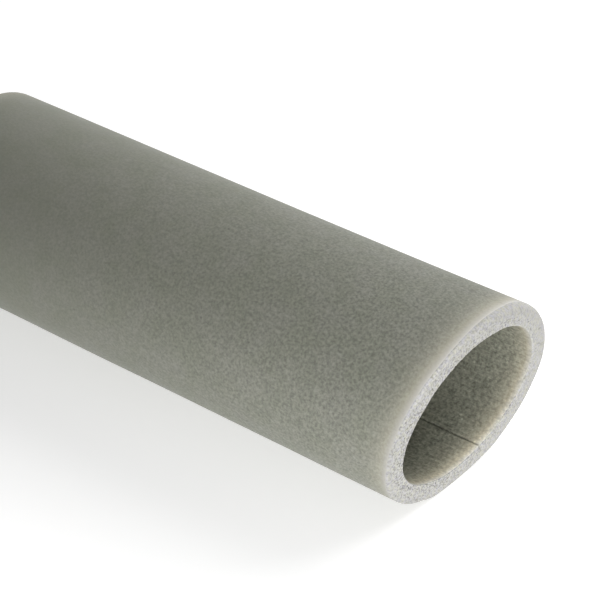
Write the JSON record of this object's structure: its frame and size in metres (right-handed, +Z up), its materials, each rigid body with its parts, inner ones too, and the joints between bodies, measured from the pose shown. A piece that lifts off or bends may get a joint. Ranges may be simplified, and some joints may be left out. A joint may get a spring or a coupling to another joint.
{
  "type": "foam pipe insulation lagging",
  "caption": "Short length of grey foam tube that slips round a pipe to keep its heat in, with a scored bore.",
  "frame": {"origin": "centre of the box's underside, where the tube rests on the floor", "axes": "+X along the tube towards the end that is cut a little off square, +Z up"},
  "size_m": [0.2714, 0.0994, 0.0886],
  "materials": {
    "grey_foam": "matte closed-cell foam, smooth outer skin, cut ends showing the cells"
  },
  "bodies": {
    "root": {"foam_tube": "grey_foam"}
  },
  "joints": []
}
